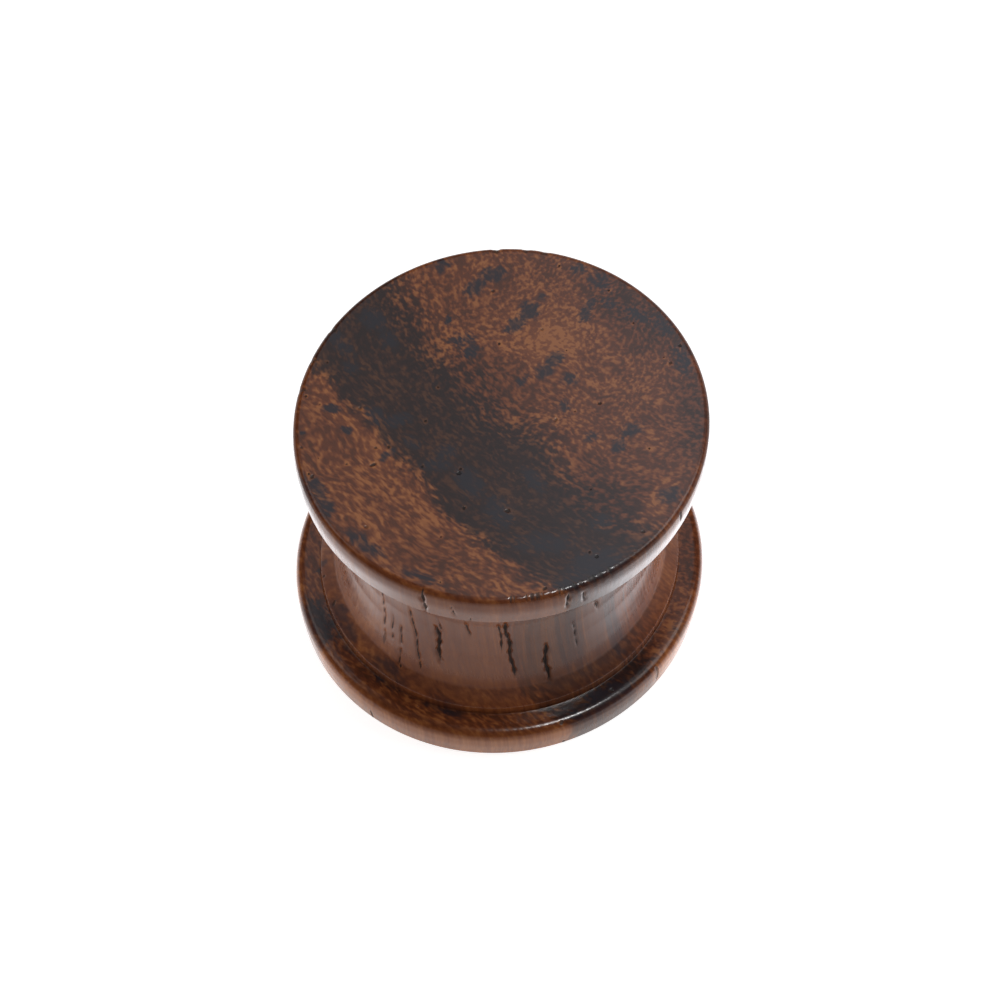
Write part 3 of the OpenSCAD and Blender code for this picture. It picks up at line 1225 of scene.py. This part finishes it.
@dataclass(frozen=True)
class Plug:
    """The whole plug, one turned piece of wood.

    Attributes:
        outline: Its lengthwise outline.
        pores: The large pores that the turned surface cuts open.
        nicks: The pieces broken out of its upper rim.
        edge: The crumbled stretch of that rim.
        columns: Number of columns of the surface's grid.
        crowding: How much closer the columns stand at the front, from 0 to 1.
        oval: How much the plug's radius swells along its long direction, as a share.
        oval_turn: Angle of the long direction from X, in degrees.
        cove_reach: How far from a cove's corner the polish is duller, in mm.
    """

    outline: Outline
    pores: tuple[Pore, ...] = PORES
    nicks: tuple[Nick, ...] = NICKS
    edge: ChippedEdge = ChippedEdge()
    columns: int = 544
    crowding: float = 0.42
    oval: float = 0.018
    oval_turn: float = 47.0
    cove_reach: float = 0.6

    # A slope too small to divide by, and the least one that counts as the rim's side
    NO_SLOPE = 1e-9
    RIM_SLOPE = 0.05

    def azimuths(self) -> np.ndarray:
        """Gives each column's angle from the front in radians: even steps less a sine, finer in front."""
        step = np.linspace(0.0, 2 * math.pi, self.columns, endpoint=False)
        return step - self.crowding * np.sin(step)

    def pore_field(self, grid: Grid) -> tuple[np.ndarray, np.ndarray]:
        """Works out where the pores are open and how deep.

        Across a pore the depth is a bell, e to the minus square of the distance over the half width.
        The pore's middle swings and its width narrows by sines of the height. Along it the depth
        eases to nothing at both ends.

        Args:
            grid: The surface's points.

        Returns:
            The mask from 0 to 1 and the depth in mm, as arrays of the grid's shape.
        """
        azimuth, radius, height = grid
        mask, depth = np.zeros_like(radius), np.zeros_like(radius)
        for pore in self.pores:
            swing = Pore.SWING * pore.width * np.sin(Pore.WAVES * height + pore.azimuth)
            across = radius * turned_from(azimuth, pore.azimuth) - pore.lean * (pore.top - height) - swing
            pinch = Pore.PINCH * np.sin(Pore.PINCH_WAVES * height + pore.top)
            half = pore.width / 2 * (1 - Pore.PINCH + pinch)
            along = np.clip(np.minimum(pore.top - height, height - pore.bottom) / Pore.TAPER, 0.0, 1.0)
            shape = np.exp(-((across / half) ** 2)) * np.sqrt(along)
            mask = np.maximum(mask, shape)
            depth = np.maximum(depth, shape * pore.width * Pore.DEPTH_SHARE)
        return mask, depth

    def rim_loss(self, grid: Grid) -> np.ndarray:
        """Works out how much the nicks take off the upper rim.

        Along the rim a nick is a tent, its depth less the distance over the half width. Below the face
        it fades over its reach.

        Args:
            grid: The surface's points.

        Returns:
            The loss in mm, as an array of the grid's shape.
        """
        azimuth, radius, height = grid
        loss = np.zeros_like(radius)
        fade = np.clip(1 - (self.outline.length - height) / Nick.REACH, 0.0, 1.0)
        for nick in (*self.nicks, *self.edge.nicks()):
            along = np.abs(radius * turned_from(azimuth, nick.azimuth))
            tent = np.clip(1 - along / (nick.width / 2), 0.0, 1.0)
            loss = np.maximum(loss, nick.depth * tent * fade)
        return loss

    def surface(self) -> tuple[np.ndarray, dict[Channel, np.ndarray]]:
        """Works out the grid of points.

        A point is the outline's radius, less the depth of pores and nicks, times one plus the oval's
        share of the cosine of twice the angle from its long direction, carried round the axis. The cove's
        value is a bell, e to the minus square of the height from the corner over the reach.

        Returns:
            The points in mm, rows by columns by three, and the carried values, rows by columns.
        """
        rows = self.outline.rows()
        radius, azimuth = np.meshgrid(rows[:, 0], self.azimuths(), indexing="ij")
        height = np.broadcast_to(rows[:, 1:], radius.shape)
        grid = (azimuth, radius, height)
        mask, depth = self.pore_field(grid)
        slope = np.gradient(rows[:, 1]) / np.maximum(np.hypot(*np.gradient(rows, axis=0).T), self.NO_SLOPE)
        upright = np.clip(slope, 0.0, 1.0)[:, None]
        loss = self.rim_loss(grid) * (radius > self.outline.waist)
        radius = radius - depth * upright - loss
        swell = 1 + self.oval * np.cos(2 * (azimuth - math.pi / 2 - math.radians(self.oval_turn)))
        points = np.stack([radius * swell * np.sin(azimuth), -radius * swell * np.cos(azimuth), height], -1)
        end_grain = np.broadcast_to(1 - np.clip(np.abs(slope), 0.0, 1.0)[:, None], radius.shape)
        # Painted shade: the nicks' walls on the rim's side are darkened as if shade lay in their hollows
        painted_nick_shade = Nick.NICK_SHADE * np.clip(loss / Nick.NICK_SHADE_FULL_AT, 0.0, 1.0) * (slope[:, None] > self.RIM_SLOPE)
        cove = np.zeros_like(radius)
        for corner in self.outline.cove_corners():
            cove = np.maximum(cove, np.exp(-(((height - corner.height) / self.cove_reach) ** 2)))
        cove = cove * (radius < self.outline.waist + Flare.STEP_OUT)
        pore = np.maximum(mask * upright, painted_nick_shade)
        return points, {Channel.PORE: pore, Channel.END_GRAIN: end_grain, Channel.COVE: cove}

    def build(self, material: Material) -> Object:
        """Makes the plug's mesh from the grid, closed by a fan of triangles at the middle of each face.

        Args:
            material: The wood's material.

        Returns:
            The finished piece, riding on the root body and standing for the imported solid.
        """
        points, carried = self.surface()
        points = points[1:-1]
        count, columns = points.shape[:2]
        low, high = count * columns, count * columns + 1
        poles = [(0.0, 0.0, 0.0), (0.0, 0.0, self.outline.length)]
        vertices = np.concatenate([points.reshape(-1, 3), poles]) * MM
        grid = np.arange(count * columns).reshape(count, columns)
        beside = np.roll(grid, -1, axis=1)
        quads = np.stack([grid[:-1], beside[:-1], beside[1:], grid[1:]], -1).reshape(-1, 4)
        lower_fan = np.stack([np.full(columns, low), beside[0], grid[0]], -1)
        upper_fan = np.stack([np.full(columns, high), grid[-1], beside[-1]], -1)
        mesh = bpy.data.meshes.new(PIECE_NAME)
        mesh.from_pydata(vertices.tolist(), [], [*quads.tolist(), *lower_fan.tolist(), *upper_fan.tolist()])
        for channel, values in carried.items():
            listed = np.append(values[1:-1].ravel(), [values[0, 0], values[-1, 0]])
            mesh.attributes.new(channel.value, "FLOAT", "POINT").data.foreach_set("value", listed)
        mesh.polygons.foreach_set("use_smooth", np.ones(len(mesh.polygons), dtype=bool))
        mesh.materials.append(material)
        mesh.update()
        piece = placed(PIECE_NAME, mesh)
        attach(piece, "root")
        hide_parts("plug")
        return piece


@dataclass(frozen=True)
class Eye:
    """The camera, far off with a long lens, above the front of the plug.

    Attributes:
        elevation: Its height above the horizon, in degrees.
        distance: Its distance from the middle of the plug, in mm.
        roll: How far it is rolled about its line of sight, in degrees.
        lens: Its focal length, in mm.
        aim_right: How far right of the plug's middle it aims, in mm.
        aim_up: How far above the plug's middle it aims, in mm.
    """

    elevation: float = 59.3
    distance: float = 360.0
    roll: float = 0.796
    lens: float = 265.6
    aim_right: float = -0.021
    aim_up: float = 0.087

    SENSOR_WIDTH = 36.0
    # Nearest and farthest distance that it sees, in metres
    CLIP = (0.01, 20.0)

    def build(self, middle: float) -> Object:
        """Makes the camera and sets it as the scene's.

        Args:
            middle: Height of the plug's middle, in mm.

        Returns:
            The camera.
        """
        lift = math.radians(self.elevation)
        sight = Vector((0.0, math.cos(lift), -math.sin(lift)))
        right = Vector((1.0, 0.0, 0.0))
        up = right.cross(sight)
        turned = math.radians(self.roll)
        across = right * math.cos(turned) + up * math.sin(turned)
        upward = up * math.cos(turned) - right * math.sin(turned)
        aim = Vector((0.0, 0.0, middle)) + across * self.aim_right + upward * self.aim_up
        data = bpy.data.cameras.new("eye")
        data.lens = self.lens
        data.sensor_width = self.SENSOR_WIDTH
        data.clip_start, data.clip_end = self.CLIP
        camera = placed("eye", data)
        turn = Matrix((across, upward, -sight)).transposed().to_4x4()
        camera.matrix_world = Matrix.Translation((aim - sight * self.distance) * MM) @ turn
        bpy.context.scene.camera = camera
        return camera


@dataclass(frozen=True)
class Softbox:
    """A soft lamp, a bright rectangle that faces the plug.

    Attributes:
        name: Its name.
        azimuth: Its direction from the plug, in degrees from the front, positive to the right.
        elevation: Its height above the horizon, in degrees.
        distance: Its distance from the plug, in mm.
        width: Its width, in mm.
        height: Its height, in mm.
        brightness: Its radiance, where the white floor's is about one.
        colour: Its colour.
        lights: Whether it lights the wood, and isn't only mirrored in its polish.
    """

    name: str
    azimuth: float
    elevation: float
    distance: float
    width: float
    height: float
    brightness: float
    colour: Triple = (1.0, 1.0, 1.0)
    lights: bool = True

    def build(self) -> Object:
        """Makes the lamp. Its power is its brightness times pi times its area.

        Returns:
            The lamp.
        """
        turn, lift = math.radians(self.azimuth), math.radians(self.elevation)
        away = Vector((math.sin(turn) * math.cos(lift), -math.cos(turn) * math.cos(lift), math.sin(lift)))
        data = bpy.data.lights.new(self.name, "AREA")
        data.shape = "RECTANGLE"
        data.size, data.size_y = self.width * MM, self.height * MM
        data.energy = self.brightness * math.pi * data.size * data.size_y
        data.color = self.colour
        lamp = placed(self.name, data)
        lamp.location = away * self.distance * MM
        lamp.rotation_mode = "QUATERNION"
        lamp.rotation_quaternion = (-away).to_track_quat("-Z", "Y")
        lamp.visible_diffuse = self.lights
        return lamp


@dataclass(frozen=True)
class Studio:
    """The room: its floor, its lamps and the dim light between them.

    Attributes:
        floor: The floor.
        lamps: The softboxes.
        room: Colour and brightness of the room's own light.
    """

    floor: PaleFloor = PaleFloor()
    # Name, azimuth, elevation, distance, width, height, brightness, colour
    lamps: tuple[Softbox, ...] = (
        Softbox("back_panel", 180, 60, 900, 900, 700, 1.12, (0.97, 0.97, 1.0)),
        Softbox("right_box", 95, 45, 900, 500, 400, 3.6),
        Softbox("left_box", -100, 45, 900, 500, 400, 1.8),
        Softbox("high_strip", 56, 70, 900, 210, 45, 150.0, lights=False),
    )
    room: Triple = (0.04, 0.041, 0.043)

    def build(self) -> None:
        """Makes the floor and the lamps, and sets the room's light and plain colours."""
        self.floor.build()
        for lamp in self.lamps:
            lamp.build()
        scene = bpy.context.scene
        world = bpy.data.worlds.new("room")
        world.use_nodes = True
        light = {"Color": (*self.room, 1.0), "Strength": 1.0}
        Sheet(world.node_tree).feed(world.node_tree.nodes["Background"], light)
        scene.world = world
        scene.view_settings.view_transform = "Standard"
        scene.view_settings.look = "None"


def plug_from_frame() -> Plug:
    """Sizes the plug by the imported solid's length and the gauge's own widths.

    Returns:
        The plug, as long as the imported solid.
    """
    low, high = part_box("plug")
    length = (high.z - low.z) / MM
    lower = Flare(
        rim_out=2.13, rim_round=0.12, band_out=2.29, bulge_height=1.0,
        edge_out=2.32, band_height=2.05, edge_round=0.56,
    )
    upper = Flare(
        rim_out=2.23, rim_round=0.36, band_out=2.27, bulge_height=0.95,
        edge_out=2.1, band_height=2.15, edge_round=0.12,
    )
    return Plug(Outline(length=length, waist=7.75, barrel_flare=0.38, lower=lower, upper=upper))


def main() -> None:
    """Builds the camera, the studio and the plug, in that order, and reports each piece."""
    logging.basicConfig(level=logging.INFO, format="%(name)s: %(message)s")
    plug = plug_from_frame()
    Eye().build(plug.outline.length / 2)
    log.info("camera at the photograph's angle")
    Studio().build()
    log.info("floor and lamps")
    wood = PolishedWood().material(Heart(), Figure(), Fibre(), FinePores())
    piece = plug.build(wood)
    triangles = sum(len(face.vertices) - 2 for face in piece.data.polygons)
    log.info("%s: %d triangles", piece.name, triangles)


if __name__ == "__main__":
    main()
